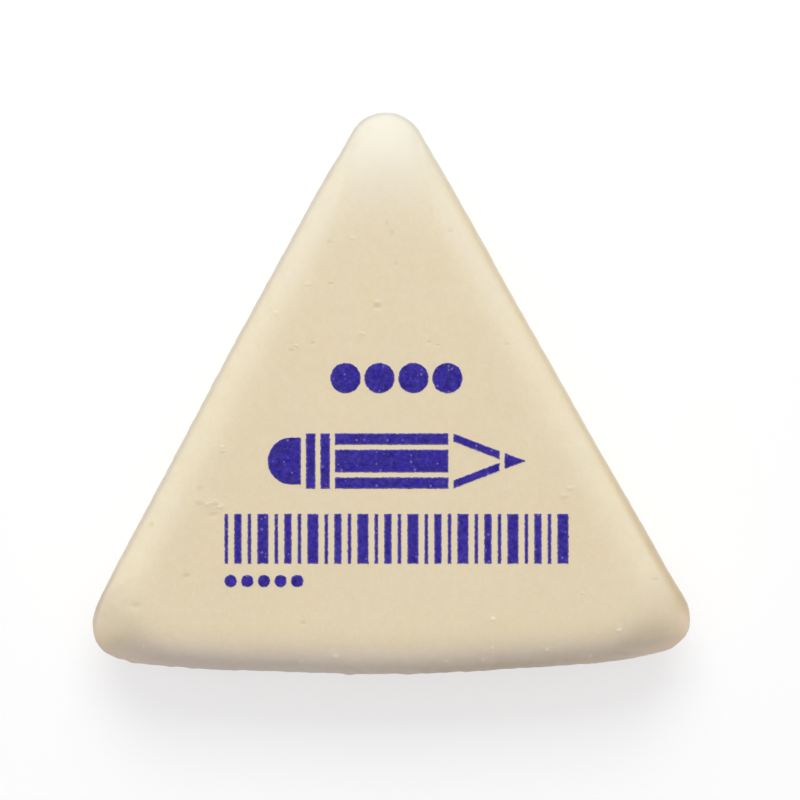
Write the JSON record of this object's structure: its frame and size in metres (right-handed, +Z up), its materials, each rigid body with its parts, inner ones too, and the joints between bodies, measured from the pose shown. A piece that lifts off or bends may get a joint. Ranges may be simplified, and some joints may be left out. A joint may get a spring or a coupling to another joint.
{
  "type": "triangular eraser",
  "caption": "Flat triangular rubber eraser with a bowed base, rounded corners and softly rolled edges, and a plain ink print on its top face.",
  "frame": {"origin": "middle of the block's footprint, on the surface that it rests on", "axes": "+Z up through the printed face, +Y towards the apex, +X along the base"},
  "size_m": [0.0434, 0.041, 0.01],
  "materials": {
    "eraser_rubber": "matte cream rubber with a fine dusty grain",
    "print_ink": "matte blue-violet ink film, slightly mottled"
  },
  "bodies": {
    "root": {"rubber_block": "eraser_rubber", "ink_top_dots": "print_ink", "ink_pencil": "print_ink", "ink_bar_band": "print_ink", "ink_foot_dots": "print_ink"}
  },
  "joints": []
}
